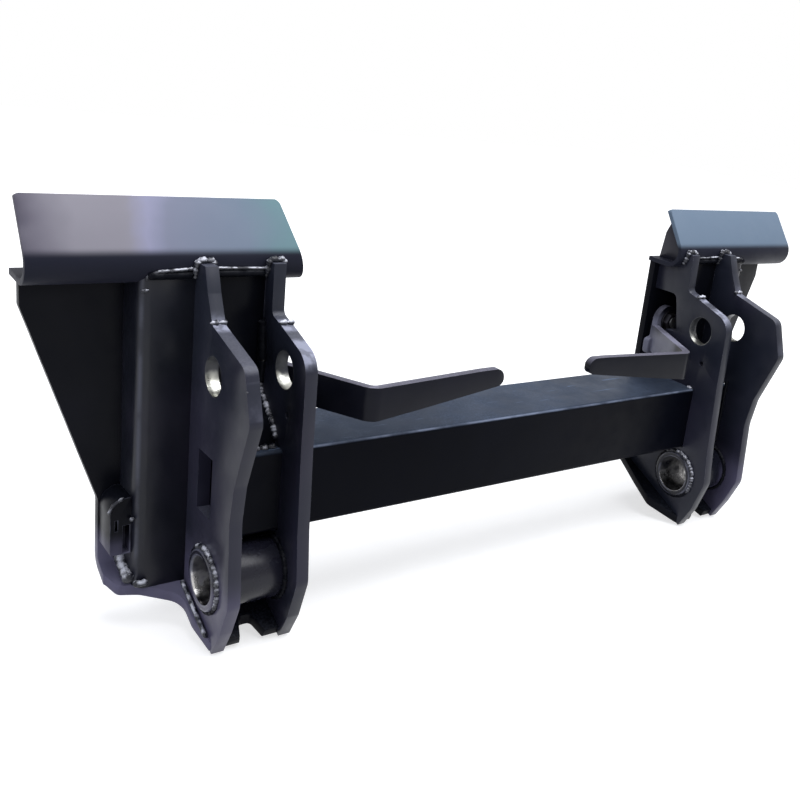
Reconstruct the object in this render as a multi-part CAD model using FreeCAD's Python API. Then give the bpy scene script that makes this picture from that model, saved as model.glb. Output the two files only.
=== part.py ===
import FreeCAD
import Part

import math
import os

# Skid steer quick attach plate, in millimetres.
# X runs along the cross tube to the right, Y forwards to the attachment, Z up.
# The origin is on the lower pivot axis, midway between the two uprights.
# Each upright is drawn for the right side and mirrored for the left one.

# Ears
EAR_THICKNESS = 13.3
INNER_EAR_X = 313.7
EAR_GAP = 60.8
CYLINDER_HOLE_DIAMETER = 39.4
CYLINDER_HOLE_Y = 1.0
CYLINDER_HOLE_Z = 219.0
SMALL_HOLE_DIAMETER = 7.0
SMALL_HOLE_Y = -11.0
SMALL_HOLE_Z = 174.0
EAR_TOP_Z = 320.0
EAR_FOOT_DEPTH = 11.0
# Rear edges of the ears from foot to neck, as Y, Z and corner radius.
OUTER_EAR_REAR_EDGE = [
    (-42, -42, 20), (-58, -4, 24), (-52, 86, 50), (-58, 126, 30), (-85, 198, 14),
    (-68, 248, 14), (8, 268, 6), (22, 296, 16), (31, EAR_TOP_Z, 0),
]
INNER_EAR_REAR_EDGE = [
    (-42, -42, 20), (-57, 4, 24), (-51, 60, 40), (-46, 150, 40), (-44, 243, 26),
    (14, 262, 16), (36, 268, 8), (37, EAR_TOP_Z, 0),
]
WINDOW_FRONT_Y = 28.0
WINDOW_BOTTOM_Z = 69.0
LINK_PASSAGE_Y = 66.0
LINK_PASSAGE_TOP_Z = 206.0
LINK_PASSAGE_RADIUS = 8.0
# Front notch of the inner ear, as Y, Z and corner radius.
LEVER_NOTCH = [(66, 205, 5), (44, 205, 5), (52, 240, 16), (57, 259, 9)]

# Lower pivot
PIVOT_TUBE_DIAMETER = 66.0
PIVOT_TUBE_WALL = 8.0
PIVOT_TUBE_PROUD = 5.0

# Face plate and lip
PLATE_INNER_X = 303.7
PLATE_THICKNESS = 10.0
PLATE_REAR_Y = 98.3
PLATE_SHOULDER_X = 549.0
PLATE_SHOULDER_Z = 270.0
PLATE_FOOT_MARGIN = 22.0
PLATE_FOOT_Z = 60.0
PLATE_SHOULDER_RADIUS = 8.0
PLATE_FOOT_RADIUS = 20.0
FOLD_INNER_RADIUS = 10.0
FOLD_Z = -7.9
LIP_REAR_Y = -24.5
LIP_SLOPE = 0.447
LIP_EAR_INSET = 0.2
# Edge of the lip seen from above, as X, Y and corner radius. X counts from the plate's
# inner edge, the inner ear, the middle of the gap, the outer ear and the plate's foot.
LIP_INNER_EDGE = [(0, 97, 4), (-9, 57, 60), (-16, 19, 12)]
LIP_INNER_CORNER = [(-1, LIP_REAR_Y + 4, 12), (8, LIP_REAR_Y, 6)]
LIP_NOTCH = [(-15, LIP_REAR_Y, 3), (-7, -2, 6), (6, -2, 5), (13, LIP_REAR_Y, 2)]
LIP_OUTER_CORNER = [(0, LIP_REAR_Y, 2), (8, 9, 30), (8, 38, 22)]
LIP_FOOT_EDGE = [(-30, 58, 30), (-9, 63, 8), (0, 80, 8)]
PLATE_SHOULDER_Y = 86.0

# Saddle
SADDLE_THICKNESS = 6.0
SADDLE_INNER_X = 298.0
SADDLE_OUTER_X = 555.0
SADDLE_TOP_Y = 87.0
SADDLE_TOP_Z = 377.0
SADDLE_FOLD_Y = 27.2
SADDLE_FOLD_Z = 295.5
SADDLE_FOLD_RADIUS = 16.0
SADDLE_FLANGE_SLOPE = 0.035
SADDLE_CORNER_RADIUS = 5.0
RIB_THICKNESS = 10.0
RIB_TOP_DROP = 12.0
RIB_SHOULDER_Y = 98.0
RIB_SHOULDER_Z = 342.0
RIB_FRONT_Y = 104.0

# Cross tube
TUBE_DEPTH = 104.7
TUBE_HEIGHT = 91.5
TUBE_TOP_Z = 134.2
TUBE_WALL = 8.0
TUBE_CORNER_RADIUS = 5.0

# Plates behind the tube and outside the outer ear
WEB_REAR_Y = 54.0
WEB_THICKNESS = 8.0
WEB_BEND_Z = 184.0
WEB_BEND_RADIUS = 14.0
WEB_FOOT_Y = 18.0
WEB_FOOT_Z = 157.0
WEB_END_Y = 6.0
CHANNEL_WIDTH = 53.9
CHANNEL_THICKNESS = 8.0
BEND_INNER_RADIUS = 4.0

# Side bracket
BRACKET_WIDTH = 21.0
BRACKET_DEPTH = 36.0
BRACKET_BOTTOM_Z = 12.0
BRACKET_TOP_Z = 75.0
WIDE_SLOT_WIDTH = 7.0
WIDE_SLOT_HEIGHT = 31.0
WIDE_SLOT_DEPTH = 14.0
NARROW_SLOT_WIDTH = 3.0
NARROW_SLOT_HEIGHT = 12.0
NARROW_SLOT_DEPTH = 6.0
NARROW_SLOT_Z = 39.0
SLOT_EDGE = 1.5
BRACKET_CORNER_RADIUS = 3.0
BRACKET_TOP_FLAT = 2.0

# Lever
LEVER_PIVOT_X = 330.0
LEVER_PIVOT_Z = 212.0
LEVER_THICKNESS = 10.0
LEVER_TIP_X = 68.0
LEVER_TIP_Y = -35.0
LEVER_BEND_X = 248.0
LEVER_BEND_Y = -44.0
LEVER_ARM_TURN = 62.1
LEVER_BEND_RADIUS = 8.0
LEVER_END_OVERLAP = 2.0
# Side view of the bar from its tip, as X, Z and corner radius.
LEVER_TOP_EDGE = [
    (LEVER_PIVOT_X, 206, 0), (238, 205, 60), (100, 209, 40), (LEVER_TIP_X, 209, 12),
]
LEVER_BOTTOM_EDGE = [
    (LEVER_TIP_X, 189, 9), (172, 176, 60), (242, 168, 20), (LEVER_PIVOT_X, 168, 0),
]
# Lobe of the hub plate that carries the arm, as X, Z and corner radius.
HUB_LOBE = [
    (296, 162, 8), (296, 185, 5), (307, 188, 3), (308, LEVER_PIVOT_Z, 0),
    (352, LEVER_PIVOT_Z, 0), (345, 178, 10), (324, 162, 10),
]
HUB_RADIUS = 22.0
HUB_GAP = 10.3
STUD_DIAMETER = 16.0
SPACER_WIDTH = 19.0
WASHER_DIAMETER = 30.0
WASHER_THICKNESS = 3.0
NUT_WIDTH = 24.0
NUT_THICKNESS = 8.0

# Link
CRANK_RADIUS = 22.0
CRANK_ANGLE = -95.0
CRANK_PIN_DIAMETER = 10.0
LINK_THICKNESS = 8.0
LINK_HEIGHT = 13.0
LINK_EYE_RADIUS = 11.0
LINK_OFFSET = 13.0
LINK_JOG_START = 45.0
LINK_JOG_END = 62.0
WEDGE_PIN_PLAY = 2.2

# Wedge
WEDGE_SETBACK = 27.0
WEDGE_WIDTH = 30.0
WEDGE_DEPTH = 24.0
WEDGE_TIP_Z = -40.0
WEDGE_TAPER_HEIGHT = 20.0
WEDGE_TAPER_INSET = 6.0
WEDGE_PIN_DIAMETER = 8.0
WEDGE_PIN_Z = 132.0
WEDGE_FORK_DEPTH = 16.0
WEDGE_HEAD_WALL = 1.0
GUIDE_BOTTOM_Z = 30.0
GUIDE_HEIGHT = 50.0

# Clearances
RUNNING_FIT = 0.05
SLIDE_GAP = 0.3
SIDE_GAP = 1.0
LIP_HOLE_GAP = 1.0
PLATE_GAP = 0.3

# Places that follow from the sizes above
INNER_EAR_END = INNER_EAR_X + EAR_THICKNESS
OUTER_EAR_X = INNER_EAR_END + EAR_GAP
OUTER_EAR_END = OUTER_EAR_X + EAR_THICKNESS
PLATE_FRONT_Y = PLATE_REAR_Y + PLATE_THICKNESS
TUBE_REAR_Y = PLATE_REAR_Y - TUBE_DEPTH
TUBE_BOTTOM_Z = TUBE_TOP_Z - TUBE_HEIGHT
CHANNEL_SIDE_X = OUTER_EAR_END + CHANNEL_WIDTH
CHANNEL_INSIDE_X = CHANNEL_SIDE_X - CHANNEL_THICKNESS
PLATE_FOOT_X = CHANNEL_SIDE_X + PLATE_FOOT_MARGIN
WEDGE_X = CHANNEL_SIDE_X - WEDGE_SETBACK
LEVER_PIVOT = (LEVER_PIVOT_X, LEVER_PIVOT_Z)
WEB_FRONT_Y = WEB_REAR_Y + WEB_THICKNESS
HUB_FRONT_Y = PLATE_REAR_Y - HUB_GAP
HUB_REAR_Y = HUB_FRONT_Y - LEVER_THICKNESS
LINK_FRONT_Y = HUB_FRONT_Y + SIDE_GAP + LINK_THICKNESS
FLANGE_TIP_Z = SADDLE_FOLD_Z + SADDLE_FLANGE_SLOPE * (PLATE_FRONT_Y - SADDLE_FOLD_Y)
CRANK_X = LEVER_PIVOT_X + CRANK_RADIUS * math.cos(math.radians(CRANK_ANGLE))
CRANK_Z = LEVER_PIVOT_Z + CRANK_RADIUS * math.sin(math.radians(CRANK_ANGLE))
WEDGE_CENTRE_Y = LINK_FRONT_Y - LINK_THICKNESS / 2 - LINK_OFFSET
FAR = 900.0


def rounded_wire(points):
    """Closed wire through (a, b, radius) points, in the plane of a and b."""
    vectors = [FreeCAD.Vector(a, b, 0) for a, b, _ in points]
    count = len(points)
    ends = []
    for index in range(count):
        corner = vectors[index]
        back = (vectors[index - 1] - corner).normalize()
        ahead = (vectors[(index + 1) % count] - corner).normalize()
        radius = points[index][2]
        half = back.getAngle(ahead) / 2
        reach = radius / math.tan(half)
        middle = corner + (back + ahead).normalize() * (radius / math.sin(half) - radius)
        ends.append((corner + back * reach, middle, corner + ahead * reach, radius))
    edges = []
    for index in range(count):
        start, middle, end, radius = ends[index]
        if radius > 0:
            edges.append(Part.Arc(start, middle, end).toShape())
        following = ends[(index + 1) % count][0]
        if end.distanceToPoint(following) > 1e-6:
            edges.append(Part.LineSegment(end, following).toShape())
    return Part.Wire(edges)


def plate(points, plane, start, end):
    """Solid from a rounded outline in a plane, between two places on the third axis."""
    face = Part.Face(rounded_wire(points))
    if plane == "XZ":
        face.translate(FreeCAD.Vector(0, 0, -end))
        turn = FreeCAD.Rotation(FreeCAD.Vector(1, 0, 0), 90)
    else:
        face.translate(FreeCAD.Vector(0, 0, start))
        turn = FreeCAD.Rotation(FreeCAD.Vector(1, 1, 1), 120 if plane == "YZ" else 0)
    solid = face.extrude(FreeCAD.Vector(0, 0, end - start))
    return solid.transformShape(FreeCAD.Placement(FreeCAD.Vector(), turn).toMatrix(), True)


def strip(points, thickness, inner_radius):
    """Outline of a bent plate: a path, and the same path moved left by the thickness."""
    vectors = [FreeCAD.Vector(a, b, 0) for a, b in points]
    up = FreeCAD.Vector(0, 0, 1)
    last = len(vectors) - 1
    near = []
    far = []
    for index, vector in enumerate(vectors):
        before = vectors[max(index - 1, 0)]
        after = vectors[min(index + 1, last)]
        into = (vector - before) if index > 0 else (after - vector)
        out = (after - vector) if index < last else (vector - before)
        into.normalize()
        out.normalize()
        side = (up.cross(into) + up.cross(out)).normalize()
        shift = thickness / side.dot(up.cross(into))
        turn = into.cross(out).z
        inner_corner = 0 < index < last
        near_radius = inner_radius + (thickness if turn > 0 else 0)
        far_radius = inner_radius + (thickness if turn < 0 else 0)
        moved = vector + side * shift
        near.append((vector.x, vector.y, near_radius if inner_corner else 0))
        far.append((moved.x, moved.y, far_radius if inner_corner else 0))
    return near + far[::-1]


def box(x0, x1, y0, y1, z0, z1):
    """Box between two corners."""
    return Part.makeBox(x1 - x0, y1 - y0, z1 - z0, FreeCAD.Vector(x0, y0, z0))


def rod(axis, centre, radius, start, end):
    """Cylinder along X or Y, at a place in the plane across it."""
    if axis == "X":
        base = FreeCAD.Vector(start, centre[0], centre[1])
        direction = FreeCAD.Vector(1, 0, 0)
    else:
        base = FreeCAD.Vector(centre[0], start, centre[1])
        direction = FreeCAD.Vector(0, 1, 0)
    return Part.makeCylinder(radius, end - start, base, direction)


def lip_top_z(y):
    """Height of the lip's upper face."""
    return FOLD_Z + LIP_SLOPE * (y - PLATE_REAR_Y)


def flange_z(y):
    """Height of the underside of the saddle's flange."""
    return SADDLE_FOLD_Z + SADDLE_FLANGE_SLOPE * (y - SADDLE_FOLD_Y)


def shifted(points, shift):
    """Points of an outline, moved along its first axis."""
    return [(a + shift, b, radius) for a, b, radius in points]


def below_lip():
    """Everything under the lip's upper face."""
    start = LIP_REAR_Y - PLATE_THICKNESS
    outline = [
        (start, lip_top_z(start), 0),
        (PLATE_REAR_Y, FOLD_Z, 0),
        (PLATE_REAR_Y, -FAR, 0),
        (start, -FAR, 0),
    ]
    return plate(outline, "YZ", 0, FAR)


# Saddle


def saddle_path():
    """Outer line of the saddle, from its top edge round the fold to the flange's tip."""
    top = (SADDLE_TOP_Y, SADDLE_TOP_Z)
    fold = (SADDLE_FOLD_Y, SADDLE_FOLD_Z)
    return [top, fold, (PLATE_FRONT_Y, FLANGE_TIP_Z)]


def make_saddle():
    """Bent plate that hooks under the attachment's top edge."""
    outline = strip(saddle_path(), SADDLE_THICKNESS, SADDLE_FOLD_RADIUS)
    saddle = plate(outline, "YZ", SADDLE_INNER_X, SADDLE_OUTER_X)
    radius = SADDLE_CORNER_RADIUS
    window = [
        (SADDLE_INNER_X, SADDLE_FOLD_Z - radius, 0),
        (SADDLE_OUTER_X, SADDLE_FOLD_Z - radius, 0),
        (SADDLE_OUTER_X, SADDLE_TOP_Z, radius),
        (SADDLE_INNER_X, SADDLE_TOP_Z, radius),
    ]
    return saddle.common(plate(window, "XZ", 0, PLATE_FRONT_Y + SADDLE_THICKNESS))


def make_saddle_body():
    """The saddle's outer form with its V filled, which what stands under it is cut to."""
    radius = SADDLE_FOLD_RADIUS + SADDLE_THICKNESS
    top, fold, tip = saddle_path()
    outline = [(*top, 0), (*fold, radius), (*tip, 0), (tip[0], top[1], 0)]
    return plate(outline, "YZ", SADDLE_INNER_X, SADDLE_OUTER_X)


def make_saddle_rib(saddle, saddle_body):
    """Small plate inside the V, over the inner ear."""
    outline = [
        (SADDLE_FOLD_Y, FLANGE_TIP_Z, 0),
        (RIB_FRONT_Y, FLANGE_TIP_Z, 0),
        (RIB_SHOULDER_Y, RIB_SHOULDER_Z, 0),
        (SADDLE_TOP_Y, SADDLE_TOP_Z - RIB_TOP_DROP, 0),
    ]
    start = INNER_EAR_X + (EAR_THICKNESS - RIB_THICKNESS) / 2
    rib = plate(outline, "YZ", start, start + RIB_THICKNESS)
    return rib.common(saddle_body).cut(saddle)


# Face plate


def make_face_plate():
    """Upright front plate with its foot bent back into the slanted lip."""
    path = [
        (PLATE_REAR_Y, flange_z(PLATE_REAR_Y)),
        (PLATE_REAR_Y, FOLD_Z),
        (LIP_REAR_Y, lip_top_z(LIP_REAR_Y)),
    ]
    outline = strip(path, PLATE_THICKNESS, FOLD_INNER_RADIUS)
    outline[-1] = (PLATE_FRONT_Y, FLANGE_TIP_Z, 0)
    bent = plate(outline, "YZ", 0, PLATE_SHOULDER_X)
    bottom = lip_top_z(LIP_REAR_Y) - 2 * PLATE_THICKNESS
    front = [
        (0, bottom, 0),
        (PLATE_FOOT_X, bottom, 0),
        (PLATE_FOOT_X, PLATE_FOOT_Z, PLATE_FOOT_RADIUS),
        (PLATE_SHOULDER_X, PLATE_SHOULDER_Z, PLATE_SHOULDER_RADIUS),
        (PLATE_SHOULDER_X, FLANGE_TIP_Z, 0),
        (0, FLANGE_TIP_Z, 0),
    ]
    plan = [
        (PLATE_INNER_X, FAR, 0),
        *shifted(LIP_INNER_EDGE, PLATE_INNER_X),
        *shifted(LIP_INNER_CORNER, INNER_EAR_X),
        *shifted(LIP_NOTCH, (INNER_EAR_END + OUTER_EAR_X) / 2),
        *shifted(LIP_OUTER_CORNER, OUTER_EAR_END - LIP_EAR_INSET),
        *shifted(LIP_FOOT_EDGE, PLATE_FOOT_X),
        (PLATE_SHOULDER_X, PLATE_SHOULDER_Y, 0),
        (PLATE_SHOULDER_X, FAR, 0),
    ]
    bent = bent.common(plate(front, "XZ", LIP_REAR_Y - PLATE_THICKNESS, FAR))
    bent = bent.common(plate(plan, "XY", bottom, SADDLE_TOP_Z))
    hole_x = WEDGE_WIDTH / 2 + LIP_HOLE_GAP
    hole_y = WEDGE_DEPTH / 2 + LIP_HOLE_GAP
    wedge_hole = box(WEDGE_X - hole_x, WEDGE_X + hole_x, WEDGE_CENTRE_Y - hole_y,
                     WEDGE_CENTRE_Y + hole_y, bottom, 0)
    return bent.cut(wedge_hole)


# Ears


def ear_bottom():
    """The two lowest corners of both ears, before the face plate is cut away."""
    front = (PLATE_REAR_Y, lip_top_z(PLATE_REAR_Y) - EAR_FOOT_DEPTH, 0)
    rear = (LIP_REAR_Y, lip_top_z(LIP_REAR_Y) - EAR_FOOT_DEPTH, 0)
    return [front, rear]


def ear_outline(rear_edge):
    """Closed outline of an ear with the given rear edge."""
    return [*ear_bottom(), *rear_edge, (PLATE_REAR_Y, EAR_TOP_Z, 0)]


def make_outer_ear(saddle_body, face_plate):
    """Outer upright plate, with the window that shows the tube's hollow end."""
    ear = plate(ear_outline(OUTER_EAR_REAR_EDGE), "YZ", OUTER_EAR_X, OUTER_EAR_END)
    window = [
        (TUBE_REAR_Y, WINDOW_BOTTOM_Z, 0),
        (WINDOW_FRONT_Y, WINDOW_BOTTOM_Z, 0),
        (WINDOW_FRONT_Y, TUBE_TOP_Z, 0),
        (TUBE_REAR_Y, TUBE_TOP_Z, 0),
    ]
    passage = [
        (LINK_PASSAGE_Y, TUBE_TOP_Z, 0),
        (FAR, TUBE_TOP_Z, 0),
        (FAR, LINK_PASSAGE_TOP_Z, 0),
        (LINK_PASSAGE_Y, LINK_PASSAGE_TOP_Z, LINK_PASSAGE_RADIUS),
    ]
    ear = ear.cut(plate(window, "YZ", 0, FAR)).cut(plate(passage, "YZ", 0, FAR))
    return finish_ear(ear, saddle_body, face_plate)


def make_inner_ear(saddle_body, face_plate):
    """Inner upright plate, with the front notch that the lever passes through."""
    ear = plate(ear_outline(INNER_EAR_REAR_EDGE), "YZ", INNER_EAR_X, INNER_EAR_END)
    tube_passage = box(0, FAR, TUBE_REAR_Y, FAR, TUBE_BOTTOM_Z, TUBE_TOP_Z)
    notch_bottom = TUBE_TOP_Z - TUBE_WALL
    notch = [
        (LEVER_NOTCH[0][0], notch_bottom, 0),
        *LEVER_NOTCH,
        (FAR, LEVER_NOTCH[-1][1], 0),
        (FAR, notch_bottom, 0),
    ]
    small_hole = rod("X", (SMALL_HOLE_Y, SMALL_HOLE_Z), SMALL_HOLE_DIAMETER / 2, 0, FAR)
    ear = ear.cut(tube_passage).cut(plate(notch, "YZ", 0, FAR)).cut(small_hole)
    return finish_ear(ear, saddle_body, face_plate)


def finish_ear(ear, saddle_body, face_plate):
    """Ear with its two pin holes, cut to the saddle above and the lip below."""
    cylinder_hole = rod("X", (CYLINDER_HOLE_Y, CYLINDER_HOLE_Z), CYLINDER_HOLE_DIAMETER / 2,
                        0, FAR)
    pivot_hole = rod("X", (0, 0), PIVOT_TUBE_DIAMETER / 2, 0, FAR)
    return ear.cut(cylinder_hole).cut(pivot_hole).cut(saddle_body).cut(face_plate)


def make_pivot_tube():
    """Bushing tube through both ears at the lower hole."""
    start = INNER_EAR_X - PIVOT_TUBE_PROUD
    end = OUTER_EAR_END + PIVOT_TUBE_PROUD
    outer = PIVOT_TUBE_DIAMETER / 2
    tube = rod("X", (0, 0), outer, start, end)
    return tube.cut(rod("X", (0, 0), outer - PIVOT_TUBE_WALL, start, end))


# Plates between and beside the ears


def make_web_plate(saddle_body):
    """Plate between the ears, bent back at its foot to land on the tube."""
    path = [
        (WEB_REAR_Y, EAR_TOP_Z),
        (WEB_REAR_Y, WEB_BEND_Z),
        (WEB_FOOT_Y, WEB_FOOT_Z),
        (WEB_END_Y, TUBE_TOP_Z - WEB_THICKNESS / 2),
    ]
    outline = strip(path, WEB_THICKNESS, WEB_BEND_RADIUS)
    web = plate(outline, "YZ", INNER_EAR_END, OUTER_EAR_X)
    below_tube_top = box(0, FAR, -FAR, FAR, 0, TUBE_TOP_Z)
    return web.cut(below_tube_top).cut(saddle_body)


def make_side_channel(saddle_body, face_plate):
    """Bent plate outside the outer ear, from the saddle down to the lip."""
    path = [(OUTER_EAR_END, WEB_REAR_Y), (CHANNEL_SIDE_X, WEB_REAR_Y),
            (CHANNEL_SIDE_X, PLATE_REAR_Y)]
    outline = strip(path, CHANNEL_THICKNESS, BEND_INNER_RADIUS)
    channel = plate(outline, "XY", lip_top_z(WEB_REAR_Y) - EAR_FOOT_DEPTH, EAR_TOP_Z)
    return channel.cut(saddle_body).cut(face_plate).cut(below_lip())


def make_side_bracket():
    """Round-topped bracket low on the channel's side, with its two slots."""
    outer_x = CHANNEL_SIDE_X + BRACKET_WIDTH
    outline = [
        (CHANNEL_SIDE_X, BRACKET_BOTTOM_Z, 0),
        (outer_x, BRACKET_BOTTOM_Z, BRACKET_CORNER_RADIUS),
        (outer_x, BRACKET_TOP_Z, BRACKET_WIDTH - BRACKET_TOP_FLAT),
        (CHANNEL_SIDE_X, BRACKET_TOP_Z, 0),
    ]
    rear_y = PLATE_REAR_Y - BRACKET_DEPTH
    bracket = plate(outline, "XZ", rear_y, PLATE_REAR_Y)
    wide_x = CHANNEL_SIDE_X + SLOT_EDGE
    wide = box(wide_x, wide_x + WIDE_SLOT_WIDTH, rear_y, rear_y + WIDE_SLOT_DEPTH,
               BRACKET_BOTTOM_Z + SLOT_EDGE, BRACKET_BOTTOM_Z + SLOT_EDGE + WIDE_SLOT_HEIGHT)
    narrow_x = outer_x - SLOT_EDGE - 2 * NARROW_SLOT_WIDTH
    narrow = box(narrow_x, narrow_x + NARROW_SLOT_WIDTH, rear_y, rear_y + NARROW_SLOT_DEPTH,
                 NARROW_SLOT_Z, NARROW_SLOT_Z + NARROW_SLOT_HEIGHT)
    return bracket.cut(wide).cut(narrow)


# Cross tube


def make_cross_tube():
    """Rectangular tube between the two outer ears."""
    def section(inset, radius):
        return [
            (TUBE_REAR_Y + inset, TUBE_BOTTOM_Z + inset, radius),
            (PLATE_REAR_Y - inset, TUBE_BOTTOM_Z + inset, radius),
            (PLATE_REAR_Y - inset, TUBE_TOP_Z - inset, radius),
            (TUBE_REAR_Y + inset, TUBE_TOP_Z - inset, radius),
        ]
    outside = plate(section(0, TUBE_CORNER_RADIUS), "YZ", -OUTER_EAR_X, OUTER_EAR_X)
    hollow = plate(section(TUBE_WALL, TUBE_CORNER_RADIUS / 2), "YZ", -FAR, FAR)
    return outside.cut(hollow)


# Lever


def make_lever():
    """Bent flat bar on edge, with the hub plate that turns on the stud."""
    turn = math.radians(LEVER_ARM_TURN)
    end_y = HUB_REAR_Y + LEVER_END_OVERLAP
    reach = (end_y - LEVER_BEND_Y) / math.sin(turn)
    arm_end = (LEVER_BEND_X + reach * math.cos(turn), end_y)
    path = [(LEVER_TIP_X, LEVER_TIP_Y), (LEVER_BEND_X, LEVER_BEND_Y), arm_end]
    bar = plate(strip(path, LEVER_THICKNESS, LEVER_BEND_RADIUS), "XY", 0, SADDLE_TOP_Z)
    side_view = LEVER_TOP_EDGE + LEVER_BOTTOM_EDGE
    bar = bar.common(plate(side_view, "XZ", -FAR, HUB_FRONT_Y))
    hub = plate(HUB_LOBE, "XZ", HUB_REAR_Y, HUB_FRONT_Y)
    hub = hub.fuse(rod("Y", LEVER_PIVOT, HUB_RADIUS, HUB_REAR_Y, HUB_FRONT_Y))
    lever = bar.fuse(hub).removeSplitter()
    bore = rod("Y", LEVER_PIVOT, STUD_DIAMETER / 2 + RUNNING_FIT, 0, FAR)
    pin_hole = rod("Y", (CRANK_X, CRANK_Z), CRANK_PIN_DIAMETER / 2, 0, FAR)
    return lever.cut(bore).cut(pin_hole)


def make_lever_stud():
    """Stud welded to the face plate, which carries the lever."""
    rear = HUB_REAR_Y - WASHER_THICKNESS - NUT_THICKNESS - SIDE_GAP
    return rod("Y", LEVER_PIVOT, STUD_DIAMETER / 2, rear, PLATE_REAR_Y)


def hexagon_on_stud(width, start, end):
    """Hexagonal piece with the stud's hole, with a width across its flats."""
    corner_radius = width / math.sqrt(3)
    corners = []
    for step in range(6):
        angle = math.radians(60 * step)
        corner_x = LEVER_PIVOT_X + corner_radius * math.cos(angle)
        corners.append((corner_x, LEVER_PIVOT_Z + corner_radius * math.sin(angle), 0))
    stud_hole = rod("Y", LEVER_PIVOT, STUD_DIAMETER / 2, start, end)
    return plate(corners, "XZ", start, end).cut(stud_hole)


def make_lever_spacer():
    """Hexagonal spacer on the stud between the face plate and the hub."""
    return hexagon_on_stud(SPACER_WIDTH, HUB_FRONT_Y + PLATE_GAP, PLATE_REAR_Y)


def make_lever_washer():
    """Washer under the nut."""
    end = HUB_REAR_Y - PLATE_GAP
    start = end - WASHER_THICKNESS
    washer = rod("Y", LEVER_PIVOT, WASHER_DIAMETER / 2, start, end)
    return washer.cut(rod("Y", LEVER_PIVOT, STUD_DIAMETER / 2, start, end))


def make_lever_nut():
    """Hexagon nut on the stud's rear end."""
    end = HUB_REAR_Y - PLATE_GAP - WASHER_THICKNESS
    return hexagon_on_stud(NUT_WIDTH, end - NUT_THICKNESS, end)


# Link and wedge


def make_crank_pin():
    """Pin fixed in the hub, which carries the link."""
    centre = (CRANK_X, CRANK_Z)
    return rod("Y", centre, CRANK_PIN_DIAMETER / 2, HUB_REAR_Y, LINK_FRONT_Y + SIDE_GAP / 2)


def make_link():
    """Flat link with a jog, an eye on the crank pin and a loose eye on the wedge's pin."""
    length = math.hypot(WEDGE_X - CRANK_X, WEDGE_PIN_Z - CRANK_Z)
    rear_y = LINK_FRONT_Y - LINK_THICKNESS
    path = [
        (0, rear_y),
        (LINK_JOG_START, rear_y),
        (LINK_JOG_END, rear_y - LINK_OFFSET),
        (length, rear_y - LINK_OFFSET),
    ]
    half = LINK_HEIGHT / 2
    bar = plate(strip(path, LINK_THICKNESS, 0), "XY", -half, half)
    near_eye = rod("Y", (0, 0), LINK_EYE_RADIUS, rear_y, LINK_FRONT_Y)
    far_eye = rod("Y", (length, 0), LINK_EYE_RADIUS, rear_y - LINK_OFFSET,
                  LINK_FRONT_Y - LINK_OFFSET)
    link = bar.fuse([near_eye, far_eye]).removeSplitter()
    link = link.cut(rod("Y", (0, 0), CRANK_PIN_DIAMETER / 2 + RUNNING_FIT, 0, FAR))
    play = WEDGE_PIN_DIAMETER / 2 + WEDGE_PIN_PLAY
    link = link.cut(rod("Y", (length, 0), play, 0, FAR))
    fall = math.degrees(math.atan2(CRANK_Z - WEDGE_PIN_Z, WEDGE_X - CRANK_X))
    link.rotate(FreeCAD.Vector(0, 0, 0), FreeCAD.Vector(0, 1, 0), fall)
    link.translate(FreeCAD.Vector(CRANK_X, 0, CRANK_Z))
    return link


def make_wedge():
    """Latch bar with a tapered tip and a fork at its top."""
    half = WEDGE_DEPTH / 2
    top = WEDGE_PIN_Z + LINK_EYE_RADIUS + WEDGE_HEAD_WALL
    tip_half = half - WEDGE_TAPER_INSET
    shoulder = WEDGE_TIP_Z + WEDGE_TAPER_HEIGHT
    outline = [
        (WEDGE_CENTRE_Y - tip_half, WEDGE_TIP_Z, 0),
        (WEDGE_CENTRE_Y + tip_half, WEDGE_TIP_Z, 0),
        (WEDGE_CENTRE_Y + half, shoulder, 0),
        (WEDGE_CENTRE_Y + half, top, 0),
        (WEDGE_CENTRE_Y - half, top, 0),
        (WEDGE_CENTRE_Y - half, shoulder, 0),
    ]
    wedge = plate(outline, "YZ", WEDGE_X - WEDGE_WIDTH / 2, WEDGE_X + WEDGE_WIDTH / 2)
    slot = LINK_THICKNESS / 2 + SIDE_GAP / 2
    fork = box(0, FAR, WEDGE_CENTRE_Y - slot, WEDGE_CENTRE_Y + slot,
               WEDGE_PIN_Z - WEDGE_FORK_DEPTH, top)
    pin_hole = rod("Y", (WEDGE_X, WEDGE_PIN_Z), WEDGE_PIN_DIAMETER / 2, 0, FAR)
    return wedge.cut(fork).cut(pin_hole)


def make_wedge_pin():
    """Pin through the wedge's fork."""
    half = WEDGE_DEPTH / 2
    return rod("Y", (WEDGE_X, WEDGE_PIN_Z), WEDGE_PIN_DIAMETER / 2, WEDGE_CENTRE_Y - half,
               WEDGE_CENTRE_Y + half)


def make_wedge_guide():
    """Sleeve inside the channel that keeps the wedge upright."""
    top = GUIDE_BOTTOM_Z + GUIDE_HEIGHT
    outline = [
        (OUTER_EAR_END, WEB_FRONT_Y, 0),
        (CHANNEL_INSIDE_X, WEB_FRONT_Y, BEND_INNER_RADIUS),
        (CHANNEL_INSIDE_X, PLATE_REAR_Y, 0),
        (OUTER_EAR_END, PLATE_REAR_Y, 0),
    ]
    block = plate(outline, "XY", GUIDE_BOTTOM_Z, top)
    half_x = WEDGE_WIDTH / 2 + SLIDE_GAP
    half_y = WEDGE_DEPTH / 2 + SLIDE_GAP
    return block.cut(box(WEDGE_X - half_x, WEDGE_X + half_x, WEDGE_CENTRE_Y - half_y,
                         WEDGE_CENTRE_Y + half_y, GUIDE_BOTTOM_Z, top))


# Export


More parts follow.
